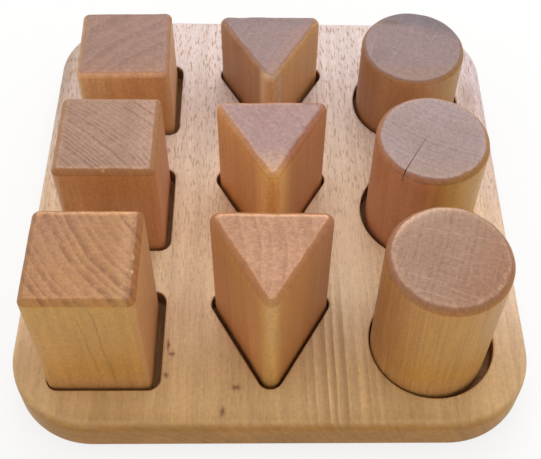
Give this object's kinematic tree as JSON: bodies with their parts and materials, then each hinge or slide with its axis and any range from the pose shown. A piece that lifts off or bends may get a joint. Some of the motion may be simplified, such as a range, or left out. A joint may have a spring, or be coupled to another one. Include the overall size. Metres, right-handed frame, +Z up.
{
  "type": "size grading puzzle",
  "caption": "Wooden size grading puzzle: a round-cornered beech board with routed pockets that hold square, triangular and round blocks in graded heights.",
  "frame": {"origin": "middle of the board's underside", "axes": "+Z up out of the pockets, +X to the right towards the cylinders, +Y to the back, from the tall blocks to the short ones"},
  "size_m": [0.2, 0.216, 0.077],
  "materials": {
    "board_beech": "oiled beech, long grain front to back, fine dark flecks",
    "block_beech": "oiled beech, upright grain on the sides and end grain on the tops"
  },
  "bodies": {
    "board": {"board": "board_beech"},
    "square_block_tall": {"square_block_tall": "block_beech"},
    "square_block_middle": {"square_block_middle": "block_beech"},
    "square_block_short": {"square_block_short": "block_beech"},
    "triangle_block_tall": {"triangle_block_tall": "block_beech"},
    "triangle_block_middle": {"triangle_block_middle": "block_beech"},
    "triangle_block_short": {"triangle_block_short": "block_beech"},
    "cylinder_block_tall": {"cylinder_block_tall": "block_beech"},
    "cylinder_block_middle": {"cylinder_block_middle": "block_beech"},
    "cylinder_block_short": {"cylinder_block_short": "block_beech"}
  },
  "joints": [
    {"name": "square_tall_lift", "type": "slide", "parent": "board", "child": "square_block_tall", "axis": [0, 0, 1], "range_m": [0, 0.075]},
    {"name": "square_middle_lift", "type": "slide", "parent": "board", "child": "square_block_middle", "axis": [0, 0, 1], "range_m": [0, 0.075]},
    {"name": "square_short_lift", "type": "slide", "parent": "board", "child": "square_block_short", "axis": [0, 0, 1], "range_m": [0, 0.075]},
    {"name": "triangle_tall_lift", "type": "slide", "parent": "board", "child": "triangle_block_tall", "axis": [0, 0, 1], "range_m": [0, 0.075]},
    {"name": "triangle_middle_lift", "type": "slide", "parent": "board", "child": "triangle_block_middle", "axis": [0, 0, 1], "range_m": [0, 0.075]},
    {"name": "triangle_short_lift", "type": "slide", "parent": "board", "child": "triangle_block_short", "axis": [0, 0, 1], "range_m": [0, 0.075]},
    {"name": "cylinder_tall_lift", "type": "slide", "parent": "board", "child": "cylinder_block_tall", "axis": [0, 0, 1], "range_m": [0, 0.075]},
    {"name": "cylinder_middle_lift", "type": "slide", "parent": "board", "child": "cylinder_block_middle", "axis": [0, 0, 1], "range_m": [0, 0.075]},
    {"name": "cylinder_short_lift", "type": "slide", "parent": "board", "child": "cylinder_block_short", "axis": [0, 0, 1], "range_m": [0, 0.075]}
  ]
}
